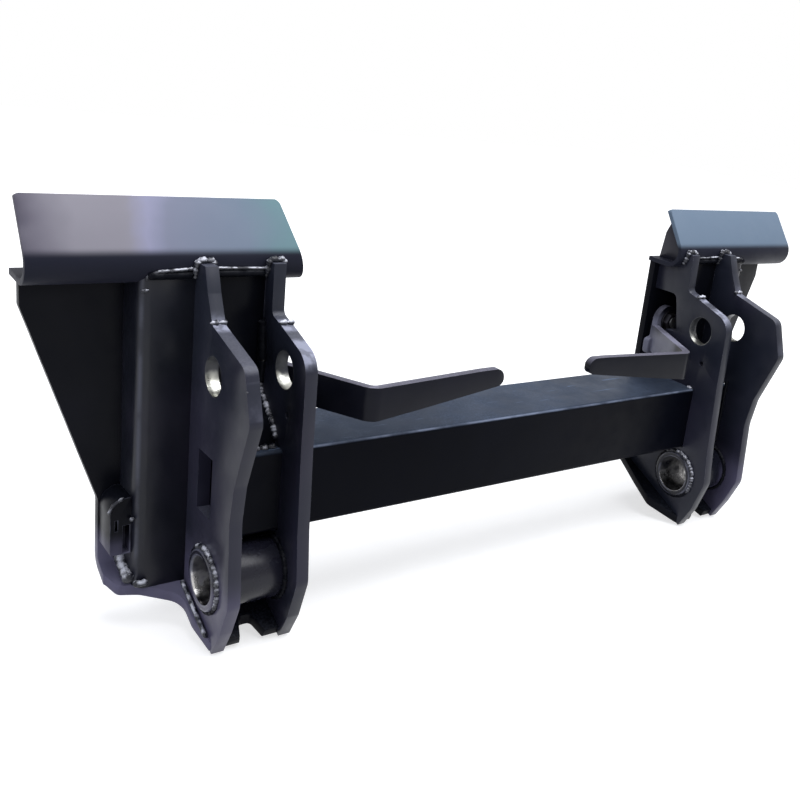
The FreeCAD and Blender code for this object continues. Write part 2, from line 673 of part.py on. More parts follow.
def upright_pieces():
    """All pieces of the right upright, by node name without its side."""
    saddle = make_saddle()
    saddle_body = make_saddle_body()
    face_plate = make_face_plate()
    return {
        "saddle": saddle,
        "saddle_rib": make_saddle_rib(saddle, saddle_body),
        "face_plate": face_plate,
        "outer_ear": make_outer_ear(saddle_body, face_plate),
        "inner_ear": make_inner_ear(saddle_body, face_plate),
        "pivot_tube": make_pivot_tube(),
        "web_plate": make_web_plate(saddle_body),
        "side_channel": make_side_channel(saddle_body, face_plate),
        "side_bracket": make_side_bracket(),
        "wedge_guide": make_wedge_guide(),
        "lever_stud": make_lever_stud(),
        "lever_spacer": make_lever_spacer(),
        "lever_washer": make_lever_washer(),
        "lever_nut": make_lever_nut(),
        "lever": make_lever(),
        "crank_pin": make_crank_pin(),
        "link": make_link(),
        "wedge": make_wedge(),
        "wedge_pin": make_wedge_pin(),
    }


def save(name, shape):
    """Write one node, which must be one valid solid."""
    if len(shape.Solids) != 1 or not shape.isValid():
        raise ValueError(f"{name} has {len(shape.Solids)} solids, valid: {shape.isValid()}")
    shape.Solids[0].exportStep(os.path.join("parts", name + ".step"))


def main():
    """Build and save every node."""
    os.makedirs("parts", exist_ok=True)
    save("cross_tube", make_cross_tube())
    for name, shape in upright_pieces().items():
        save(name + "_right", shape)
        mirrored = shape.mirror(FreeCAD.Vector(0, 0, 0), FreeCAD.Vector(1, 0, 0))
        save(name + "_left", mirrored)


main()
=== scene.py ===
"""Finishes, welds, lights and camera for the skid steer quick attach plate."""

import logging
import math
from dataclasses import dataclass, replace
from enum import Enum

import bmesh
import bpy
from mathutils import Matrix, Vector


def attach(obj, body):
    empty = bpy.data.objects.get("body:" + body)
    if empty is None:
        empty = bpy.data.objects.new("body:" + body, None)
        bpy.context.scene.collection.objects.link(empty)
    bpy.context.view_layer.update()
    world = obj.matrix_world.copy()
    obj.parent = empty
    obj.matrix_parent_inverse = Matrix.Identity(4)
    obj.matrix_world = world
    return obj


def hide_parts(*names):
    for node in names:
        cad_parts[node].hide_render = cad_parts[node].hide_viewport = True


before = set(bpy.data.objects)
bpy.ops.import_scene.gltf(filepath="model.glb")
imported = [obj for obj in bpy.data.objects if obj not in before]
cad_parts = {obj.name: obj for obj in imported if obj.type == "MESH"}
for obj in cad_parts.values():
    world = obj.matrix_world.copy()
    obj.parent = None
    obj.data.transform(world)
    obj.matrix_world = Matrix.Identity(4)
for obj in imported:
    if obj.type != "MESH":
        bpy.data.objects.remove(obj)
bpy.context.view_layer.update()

logging.basicConfig(level=logging.INFO, format="%(message)s")
log = logging.getLogger("quick_attach_plate")

Tree = bpy.types.NodeTree
Socket = bpy.types.NodeSocket
Node = bpy.types.Node
Material = bpy.types.Material
Colour = tuple[float, float, float]
Point = tuple[float, float, float]
Path = tuple[Point, ...]
Circle = tuple[float, float, float]

MM = 0.001
# Marks the bevel faces for rubbed edges and painted edge highlights
EDGE_LAYER = "edge_wear"
WHITE = (1.0, 1.0, 1.0, 1.0)


class Side(Enum):
    """The two uprights, as the sign of X."""

    RIGHT = 1
    LEFT = -1

    @property
    def word(self) -> str:
        """The side's word in node names.

        Returns:
            The word, right or left.
        """
        return self.name.lower()


class SocketKind(Enum):
    """Socket types of a shader group."""

    NUMBER = "NodeSocketFloat"
    VECTOR = "NodeSocketVector"


# Patterns of the finishes


@dataclass(frozen=True)
class Pattern:
    """A noise, and the range of its values that is spread over the result.

    Scale is in cells per metre and detail in octaves. Roughness is the strength of the fine
    octaves.
    """

    scale: float
    detail: float
    low: float
    high: float
    roughness: float = 0.55


# The edge patches break up the rubbed edges and the painted edge highlights
EDGE_WEAR_AND_HIGHLIGHT_PATCHES = Pattern(45.0, 5.0, 0.38, 0.62, roughness=0.5)
DUST_CLOUDS = Pattern(14.0, 4.0, 0.3, 0.75)
DUST_GRAINS = Pattern(420.0, 2.0, 0.35, 0.8)
DUST_STREAKS = Pattern(130.0, 2.0, 0.66, 0.74)
# The film drift breaks up the dust film and painted top sheen
FILM_DRIFT = Pattern(5.0, 4.0, 0.3, 0.7)
PAINT_CLOUDS = Pattern(7.0, 3.0, 0.35, 0.7)
PAINT_STREAKS = Pattern(30.0, 5.0, 0.3, 0.75)
GLINT_BREAKS = Pattern(70.0, 4.0, 0.38, 0.62)
FOOT_DRIFT = Pattern(12.0, 3.0, 0.3, 0.7)
BORE_STAINS = Pattern(38.0, 4.0, 0.42, 0.66)
BORE_DRIFT = Pattern(55.0, 3.0, 0.3, 0.7)
RIDGE_HIGHLIGHT_BREAKS = Pattern(24.0, 5.0, 0.36, 0.6)
SADDLE_DRIFT = Pattern(9.0, 3.0, 0.3, 0.7)
STEEL_SPOTS = Pattern(60.0, 5.0, 0.45, 0.75)
WELD_DROPS = Pattern(110.0, 3.0, 0.40, 0.62)
FLOOR_SPECKLE = Pattern(40.0, 4.0, 0.3, 0.7)

PEEL_SCALE = 900.0
WAVE_SCALE = 22.0
PEEL_DETAIL = 2.0
WELD_GRIT_SCALE = 240.0
MARK_DETAIL = 3.0
MARK_RANGE = (0.2, 0.8)
STREAK_STRETCH = (0.1, 1.0, 1.0)
MARK_STRETCH = (1.0, 0.12, 0.12)

# Depth in metres that a height of 1 stands for
PAINT_RELIEF = 0.0006
WELD_RELIEF = 0.0003
STEEL_RELIEF = 0.00006

# Part of the surface normal where an effect starts to change, and where it has changed
# Faces that look up take dust and a painted top sheen
DUST_AND_SHEEN_UPWARD = (0.15, 0.95)
FOOT_FORWARD = (0.3, 0.8)
# Weld crests that look up take the painted highlight
WELD_UPWARD = (-0.1, 0.8)


# Node helpers


def add_node(tree: Tree, kind: str, **settings: object) -> Node:
    """Add a node and set its properties.

    Args:
        tree: The node tree.
        kind: The node's type name.
        settings: Properties of the node by name.

    Returns:
        The new node.
    """
    node = tree.nodes.new(kind)
    for name, value in settings.items():
        setattr(node, name, value)
    return node


def fill_in(node: Node, **values: object) -> None:
    """Set input values of a node.

    Args:
        node: The node.
        values: Values by input name, with underscores for spaces.
    """
    for name, value in values.items():
        node.inputs[name.replace("_", " ")].default_value = value


def join(tree: Tree, source: Socket, target: Socket) -> None:
    """Link one socket to another.

    Args:
        tree: The node tree.
        source: The output.
        target: The input.
    """
    tree.links.new(source, target)


def noise(tree: Tree, place: Socket, scale: float, detail: float,
          roughness: float = 0.55) -> Socket:
    """Add a noise texture.

    Args:
        tree: The node tree.
        place: The coordinates it reads.
        scale: Cells per metre.
        detail: Number of octaves.
        roughness: Strength of the fine octaves.

    Returns:
        The noise value's socket.
    """
    node = add_node(tree, "ShaderNodeTexNoise")
    fill_in(node, Scale=scale, Detail=detail, Roughness=roughness)
    join(tree, place, node.inputs["Vector"])
    return node.outputs["Fac"]


def remap(tree: Tree, value: Socket, low: float, high: float, out_low: float = 0.0,
          out_high: float = 1.0, shape: str = "SMOOTHSTEP") -> Socket:
    """Map a value from one range to another.

    Args:
        tree: The node tree.
        value: The value to map.
        low: Value that gives out_low.
        high: Value that gives out_high.
        out_low: Result at low.
        out_high: Result at high.
        shape: How the result runs in between.

    Returns:
        The mapped value's socket.
    """
    node = add_node(tree, "ShaderNodeMapRange", interpolation_type=shape)
    fill_in(node, From_Min=low, From_Max=high, To_Min=out_low, To_Max=out_high)
    join(tree, value, node.inputs["Value"])
    return node.outputs["Result"]


def spread(tree: Tree, place: Socket, pattern: Pattern, out_low: float = 0.0,
           out_high: float = 1.0) -> Socket:
    """Add a pattern and spread it over a range.

    Args:
        tree: The node tree.
        place: The coordinates it reads.
        pattern: The pattern.
        out_low: Result at the pattern's low value.
        out_high: Result at its high value.

    Returns:
        The result's socket.
    """
    value = noise(tree, place, pattern.scale, pattern.detail, pattern.roughness)
    return remap(tree, value, pattern.low, pattern.high, out_low, out_high)


def combine(tree: Tree, operation: str, first: Socket | float,
            second: Socket | float = 0.0) -> Socket:
    """Work out a value from one or two others.

    Args:
        tree: The node tree.
        operation: The maths operation.
        first: First socket or number.
        second: Second socket or number, for the operations that take two.

    Returns:
        The result's socket.
    """
    node = add_node(tree, "ShaderNodeMath", operation=operation)
    for index, item in enumerate((first, second)):
        if isinstance(item, (int, float)):
            node.inputs[index].default_value = item
        else:
            join(tree, item, node.inputs[index])
    return node.outputs[0]


def multiply(tree: Tree, first: Socket, *others: Socket | float) -> Socket:
    """Multiply values.

    Args:
        tree: The node tree.
        first: The first factor.
        others: The other factors.

    Returns:
        The product's socket.
    """
    for other in others:
        first = combine(tree, "MULTIPLY", first, other)
    return first


def parts(tree: Tree, vector: Socket) -> bpy.types.NodeOutputs:
    """Split a vector.

    Args:
        tree: The node tree.
        vector: The vector's socket.

    Returns:
        The sockets X, Y and Z.
    """
    node = add_node(tree, "ShaderNodeSeparateXYZ")
    join(tree, vector, node.inputs["Vector"])
    return node.outputs


def normal(tree: Tree) -> bpy.types.NodeOutputs:
    """Read the surface normal.

    Args:
        tree: The node tree.

    Returns:
        The sockets X, Y and Z.
    """
    return parts(tree, add_node(tree, "ShaderNodeNewGeometry").outputs["Normal"])


def stretched(tree: Tree, place: Socket, scale: Point) -> Socket:
    """Stretch coordinates.

    Args:
        tree: The node tree.
        place: The coordinates.
        scale: Factor on each axis. A small one draws patterns out.

    Returns:
        The stretched coordinates' socket.
    """
    node = add_node(tree, "ShaderNodeMapping")
    fill_in(node, Scale=scale)
    join(tree, place, node.inputs["Vector"])
    return node.outputs["Vector"]


def distance(tree: Tree, place: Socket, axis: str, centre: tuple[float, float]) -> Socket:
    """Work out how far a place is from a line along an axis.

    Args:
        tree: The node tree.
        place: The coordinates.
        axis: The line's axis.
        centre: Where the line crosses the other two axes, in metres, with X as a distance
            from the middle.

    Returns:
        The distance's socket.
    """
    split = parts(tree, place)
    squares = []
    for other, middle in zip("XYZ".replace(axis, ""), centre):
        value = split[other]
        if other == "X":
            value = combine(tree, "ABSOLUTE", value)
        squares.append(combine(tree, "POWER", combine(tree, "SUBTRACT", value, middle), 2.0))
    return combine(tree, "SQRT", combine(tree, "ADD", *squares))


def blend_colour(tree: Tree, mask: Socket, first: Socket | Colour,
                 second: Socket | Colour) -> Socket:
    """Mix two colours by a mask.

    Args:
        tree: The node tree.
        mask: Share of the second colour.
        first: Socket or colour where the mask is 0.
        second: Socket or colour where the mask is 1.

    Returns:
        The mixed colour's socket.
    """
    node = add_node(tree, "ShaderNodeMix", data_type="RGBA")
    join(tree, mask, node.inputs["Factor"])
    colour_inputs = [socket for socket in node.inputs if socket.type == "RGBA"]
    for target, item in zip(colour_inputs, (first, second)):
        if isinstance(item, tuple):
            target.default_value = (*item, 1.0)
        else:
            join(tree, item, target)
    return next(socket for socket in node.outputs if socket.type == "RGBA")


class ShaderGroup:
    """A shader node group that reads coordinates and puts out one value, built once."""

    def __init__(self, name: str, numbers: tuple[str, ...], result: str) -> None:
        """Make the empty group.

        Args:
            name: The group's name.
            numbers: Names of its number inputs.
            result: Name of its output.
        """
        self.tree = bpy.data.node_groups.new(name, "ShaderNodeTree")
        sockets = [("Place", "INPUT", SocketKind.VECTOR),
                   *((label, "INPUT", SocketKind.NUMBER) for label in numbers),
                   (result, "OUTPUT", SocketKind.NUMBER)]
        for label, way, kind in sockets:
            self.tree.interface.new_socket(label, in_out=way, socket_type=kind.value)
        self.entry = add_node(self.tree, "NodeGroupInput")
        self.exit = add_node(self.tree, "NodeGroupOutput")

    def put_out(self, value: Socket) -> None:
        """Make a value the group's result.

        Args:
            value: The value's socket.
        """
        join(self.tree, value, self.exit.inputs[0])

    def use(self, tree: Tree, place: Socket, **values: float) -> Node:
        """Place the group in a material.

        Args:
            tree: The material's node tree.
            place: The coordinates it reads.
            values: Input values by name.

        Returns:
            The group node.
        """
        node = add_node(tree, "ShaderNodeGroup", node_tree=self.tree)
        join(tree, place, node.inputs["Place"])
        fill_in(node, **values)
        return node


def build_edge_wear_and_highlight_group() -> ShaderGroup:
    """Build the mask of rubbed edges, which also paints highlights on the edges.

    Returns:
        The group, whose amount is the strength of the mask.
    """
    group = ShaderGroup("edge rub and highlight", ("Amount",), "Mask")
    tree, entry = group.tree, group.entry.outputs
    edge = add_node(tree, "ShaderNodeAttribute", attribute_name=EDGE_LAYER).outputs["Fac"]
    broken = spread(tree, entry["Place"], EDGE_WEAR_AND_HIGHLIGHT_PATCHES)
    group.put_out(multiply(tree, edge, broken, entry["Amount"]))
    return group


def build_dust_and_sheen_group() -> ShaderGroup:
    """Build the mask of pale dust and painted top sheen on faces that look up.

    Returns:
        The group, with the amount of loose dust and of the even film, which is dust and painted
        sheen.
    """
    streak_strength = 1.6
    thinnest_film = 0.6
    group = ShaderGroup("settled dust and sheen", ("Amount", "Film"), "Mask")
    tree, entry = group.tree, group.entry.outputs
    place = entry["Place"]
    upward = remap(tree, normal(tree)["Z"], *DUST_AND_SHEEN_UPWARD)
    spots = multiply(tree, spread(tree, place, DUST_CLOUDS), spread(tree, place, DUST_GRAINS))
    streaks = spread(tree, stretched(tree, place, STREAK_STRETCH), DUST_STREAKS)
    marks = combine(tree, "ADD", spots, multiply(tree, streaks, streak_strength))
    loose = multiply(tree, marks, entry["Amount"])
    film = multiply(tree, spread(tree, place, FILM_DRIFT, thinnest_film), entry["Film"])
    group.put_out(multiply(tree, upward, combine(tree, "ADD", loose, film)))
    return group


def build_peel_group() -> ShaderGroup:
    """Build the height of sprayed paint's fine ripple over rolled plate.

    Returns:
        The group, with the strength of the ripple and of the plate's wave.
    """
    group = ShaderGroup("sprayed ripple", ("Ripple", "Wave"), "Height")
    tree, entry = group.tree, group.entry.outputs
    ripple = multiply(tree, noise(tree, entry["Place"], PEEL_SCALE, PEEL_DETAIL),
                      entry["Ripple"])
    wave = multiply(tree, noise(tree, entry["Place"], WAVE_SCALE, PEEL_DETAIL), entry["Wave"])
    group.put_out(combine(tree, "ADD", ripple, wave))
    return group


# Finishes


def new_material(name: str) -> tuple[Material, Tree, Node]:
    """Make a material with one shader.

    Args:
        name: The material's name.

    Returns:
        The material, its node tree and its shader node.
    """
    material = bpy.data.materials.new(name)
    material.use_nodes = True
    tree = material.node_tree
    return material, tree, tree.nodes["Principled BSDF"]


def object_place(tree: Tree) -> Socket:
    """Read object coordinates in a material.

    Args:
        tree: The material's node tree.

    Returns:
        The coordinates' socket.
    """
    return add_node(tree, "ShaderNodeTexCoord").outputs["Object"]


def add_relief(tree: Tree, shader: Node, height: Socket, depth: float) -> None:
    """Feed a height into the shader's normal.

    Args:
        tree: The material's node tree.
        shader: The shader node.
        height: The height's socket.
        depth: Depth in metres that a height of 1 stands for.
    """
    bump = add_node(tree, "ShaderNodeBump")
    fill_in(bump, Distance=depth)
    join(tree, height, bump.inputs["Height"])
    join(tree, bump.outputs["Normal"], shader.inputs["Normal"])


@dataclass(frozen=True)
class PaintFinish:
    """Sprayed semi-gloss paint, rubbed at the edges and lightly dusted, with painted highlights
    on the edges and painted sheen on the tops.

    Lengths are in metres. A glint is Y, Z and radius of a painted highlight at a corner of the
    outline. A bore is Y, Z and radius, and its wall is bare steel: a painted highlight low down,
    and mostly painted over higher up as painted shade. The foot is another tone: full below
    foot_to, gone above foot_from, and only outside foot_outside from the middle.
    """

    name: str
    colour: Colour = (0.0055, 0.0065, 0.0110)
    tint: Colour = (0.0120, 0.0115, 0.0205)
    rubbed_and_highlight: Colour = (0.15, 0.155, 0.20)
    dust_and_sheen: Colour = (0.12, 0.14, 0.19)
    steel: Colour = (0.60, 0.59, 0.58)
    grease: Colour = (0.05, 0.05, 0.055)
    roughness: float = 0.34
    smoother: float = 0.06
    rougher: float = 0.1
    dust_roughness: float = 0.35
    bare_roughness: float = 0.75
    shine: float = 0.22
    wear: float = 0.8
    dusting: float = 0.25
    film: float = 0.0
    foot: Colour | None = None
    foot_from: float = 0.045
    foot_to: float = -0.010
    foot_outside: float = 0.385
    foot_fade: float = 0.012
    glints: tuple[Circle, ...] = ()
    bore: Circle | None = None
    bore_fade: float = 0.0006
    ripple: float = 0.10
    wave: float = 1.0

    def build(self, wear: ShaderGroup, dust_and_sheen: ShaderGroup, peel: ShaderGroup) -> Material:
        """Make the paint.

        Args:
            wear: The group of rubbed edges and painted edge highlights.
            dust_and_sheen: The group of dust and painted top sheen.
            peel: The ripple group.

        Returns:
            The material.
        """
        material, tree, shader = new_material(self.name)
        place = object_place(tree)
        base = self.base_colour(tree, place)
        if self.foot is not None:
            base = self.add_foot(tree, place, base)
        edge = wear.use(tree, place, Amount=self.wear)
        rubbed_and_highlight = blend_colour(tree, edge.outputs["Mask"], base, self.rubbed_and_highlight)
        settled = dust_and_sheen.use(tree, place, Amount=self.dusting, Film=self.film)
        if self.glints:
            join(tree, self.film_sheen_and_glints(tree, place), settled.inputs["Film"])
        dust_and_highlight = settled.outputs["Mask"]
        colour = blend_colour(tree, dust_and_highlight, rubbed_and_highlight, self.dust_and_sheen)
        streaks = spread(tree, place, PAINT_STREAKS, self.roughness - self.smoother,
                         self.roughness + self.rougher)
        rough = combine(tree, "ADD", streaks, multiply(tree, dust_and_highlight, self.dust_roughness))
        if self.bore is not None:
            inside = self.bore_mask(tree, place)
            bare = blend_colour(tree, spread(tree, place, BORE_STAINS), self.steel, self.grease)
            colour = blend_colour(tree, inside, colour, bare)
            rough = multiply(tree, rough, remap(tree, inside, 0.0, 1.0, 1.0,
                                                self.bare_roughness))
            join(tree, inside, shader.inputs["Metallic"])
        join(tree, colour, shader.inputs["Base Color"])
        join(tree, rough, shader.inputs["Roughness"])
        fill_in(shader, Specular_IOR_Level=self.shine)
        grain = peel.use(tree, place, Ripple=self.ripple, Wave=self.wave)
        add_relief(tree, shader, grain.outputs["Height"], PAINT_RELIEF)
        return material

    def base_colour(self, tree: Tree, place: Socket) -> Socket:
        """Colour of the untouched paint.

        Args:
            tree: The material's node tree.
            place: Object coordinates.

        Returns:
            The colour's socket.
        """
        return blend_colour(tree, spread(tree, place, PAINT_CLOUDS), self.colour, self.tint)

    def film_sheen_and_glints(self, tree: Tree, place: Socket) -> Socket:
        """Even film of dust and painted sheen, with painted highlights at some corners of the
        outline.

        Args:
            tree: The material's node tree.
            place: Object coordinates.

        Returns:
            The film's socket.
        """
        core, faintest, brightest = 0.2, 0.4, 1.7
        uneven = spread(tree, place, GLINT_BREAKS, faintest, brightest)
        total: Socket | float = self.film
        for centre_y, centre_z, radius in self.glints:
            across = distance(tree, place, "X", (centre_y, centre_z))
            patch = remap(tree, across, core * radius, radius, 1.0, 0.0)
            total = combine(tree, "ADD", multiply(tree, patch, uneven), total)
        return total

    def add_foot(self, tree: Tree, place: Socket, base: Socket) -> Socket:
        """Other tone low down, outside the ears and not on the front.

        Args:
            tree: The material's node tree.
            place: Object coordinates.
            base: The paint's colour.

        Returns:
            The colour's socket.
        """
        split = parts(tree, place)
        uneven = spread(tree, place, FOOT_DRIFT, -self.foot_fade, self.foot_fade)
        height = combine(tree, "ADD", split["Z"], uneven)
        low = remap(tree, height, self.foot_to, self.foot_from, 1.0, 0.0)
        beside = remap(tree, combine(tree, "ABSOLUTE", split["X"]),
                       self.foot_outside - self.foot_fade, self.foot_outside)
        behind = remap(tree, normal(tree)["Y"], *FOOT_FORWARD, 1.0, 0.0)
        return blend_colour(tree, multiply(tree, low, beside, behind), base, self.foot)

    def bore_mask(self, tree: Tree, place: Socket) -> Socket:
        """Mask of the bore's wall, strongest low down as a painted highlight and faint higher up
        as painted shade.

        Args:
            tree: The material's node tree.
            place: Object coordinates.

        Returns:
            The socket that is 1 in the bore.
        """
        drift, bright_to, shaded_from, least = 0.3, 0.75, 0.1, 0.12
        centre_y, centre_z, radius = self.bore
        across = distance(tree, place, "X", (centre_y, centre_z))
        wall = remap(tree, across, radius, radius + self.bore_fade, 1.0, 0.0)
        uneven = multiply(tree, spread(tree, place, BORE_DRIFT, -drift, drift), radius)
        height = combine(tree, "ADD", parts(tree, place)["Z"], uneven)
        lit_low_shaded_high = remap(tree, height, centre_z - bright_to * radius, centre_z - shaded_from * radius,
                     1.0, least)
        return multiply(tree, wall, lit_low_shaded_high)


@dataclass(frozen=True)
class RidgeHighlightFinish(PaintFinish):
    """Paint with a painted highlight along one rounded corner, which runs along an axis.

    The two places are in metres, and X counts from the middle on both sides. Past the reach,
    counted along X, the corner has no painted highlight.
    """

    axis: str = "X"
    places: tuple[float, float] = (0.0, 0.0)
    width: float = 0.0022
    ridge_highlight: Colour = (0.20, 0.23, 0.31)
    faintest: float = 0.25
    reach: float = 1.0

    def base_colour(self, tree: Tree, place: Socket) -> Socket:
        """Colour with the painted highlight on the corner.

        Args:
            tree: The material's node tree.
            place: Object coordinates.

        Returns:
            The colour's socket.
        """
        base = super().base_colour(tree, place)
        across = distance(tree, place, self.axis, self.places)
        near = remap(tree, across, 0.0, self.width, 1.0, 0.0)
        broken = spread(tree, place, RIDGE_HIGHLIGHT_BREAKS, self.faintest)
        within = combine(tree, "LESS_THAN", combine(tree, "ABSOLUTE", parts(tree, place)["X"]),
                         self.reach)
        return blend_colour(tree, multiply(tree, near, broken, within), base, self.ridge_highlight)


@dataclass(frozen=True)
class SaddleReflectionFinish(PaintFinish):
    """Paint of a saddle with painted reflection: its tone drifts along the plate, and its fold is
    dark with painted shade.

    Each tone is a place along X in metres and a colour.
    """

    reflection_tones: tuple[tuple[float, Colour], ...] = ()
    drift: float = 0.012
    reach: float = 0.6
    fold_shade: Colour = (0.012, 0.013, 0.022)
    fold_from: float = 0.3255
    fold_to: float = 0.3345

    def base_colour(self, tree: Tree, place: Socket) -> Socket:
        """Painted reflection along the plate, and painted shade in the fold.

        Args:
            tree: The material's node tree.
            place: Object coordinates.

        Returns:
            The colour's socket.
        """
        split = parts(tree, place)
        uneven = spread(tree, place, SADDLE_DRIFT, -self.drift, self.drift)
        along = combine(tree, "ADD", split["X"], uneven)
        share = remap(tree, along, -self.reach, self.reach, shape="LINEAR")
        ramp = add_node(tree, "ShaderNodeValToRGB")
        stops = ramp.color_ramp.elements
        for index, (spot, tone) in enumerate(self.reflection_tones):
            position = (spot + self.reach) / (2 * self.reach)
            stop = stops[index] if index < len(stops) else stops.new(position)
            stop.position = position
            stop.color = (*tone, 1.0)
        join(tree, share, ramp.inputs["Fac"])
        lit = remap(tree, split["Z"], self.fold_from, self.fold_to)
        return blend_colour(tree, lit, self.fold_shade, ramp.outputs["Color"])


@dataclass(frozen=True)
class SteelFinish:
    """Machined or plated steel with fine turning or rolling marks."""

    name: str
    colour: Colour = (0.30, 0.30, 0.32)
    stain: Colour = (0.12, 0.105, 0.10)
    roughness: float = 0.32
    smoother: float = 0.08
    rougher: float = 0.14
    stained: float = 0.5
    most_stained: float = 0.6
    metallic: float = 0.95
    stained_metallic: float = 0.55
    grain: float = 700.0

    def build(self) -> Material:
        """Make the steel.

        Returns:
            The material.
        """
        material, tree, shader = new_material(self.name)
        place = object_place(tree)
        marks = noise(tree, stretched(tree, place, MARK_STRETCH), self.grain, MARK_DETAIL)
        spots = spread(tree, place, STEEL_SPOTS, 0.0, self.stained)
        join(tree, blend_colour(tree, spots, self.colour, self.stain),
             shader.inputs["Base Color"])
        join(tree, remap(tree, marks, *MARK_RANGE, self.roughness - self.smoother,
                         self.roughness + self.rougher), shader.inputs["Roughness"])
        join(tree, remap(tree, spots, 0.0, self.most_stained, self.metallic,
                         self.stained_metallic), shader.inputs["Metallic"])
        add_relief(tree, shader, marks, STEEL_RELIEF)
        return material


@dataclass(frozen=True)
class WeldFinish:
    """Painted weld metal, with a painted highlight on the crests where its ripples look up."""

    name: str
    colour: Colour = (0.010, 0.011, 0.017)
    crest_highlight: Colour = (0.62, 0.63, 0.70)
    bright: float = 1.0
    dimmest: float = 0.08
    roughness: float = 0.36
    crest_roughness: float = 0.24
    shine: float = 0.3

    def build(self) -> Material:
        """Make the weld's finish.

        Returns:
            The material.
        """
        material, tree, shader = new_material(self.name)
        place = object_place(tree)
        drops = spread(tree, place, WELD_DROPS)
        upward = remap(tree, normal(tree)["Z"], *WELD_UPWARD, self.dimmest, 1.0)
        lit = multiply(tree, drops, upward, self.bright)
        join(tree, blend_colour(tree, lit, self.colour, self.crest_highlight),
             shader.inputs["Base Color"])
        join(tree, remap(tree, drops, 0.0, 1.0, self.roughness, self.crest_roughness),
             shader.inputs["Roughness"])
        fill_in(shader, Specular_IOR_Level=self.shine)
        add_relief(tree, shader, noise(tree, place, WELD_GRIT_SCALE, MARK_DETAIL), WELD_RELIEF)
        return material


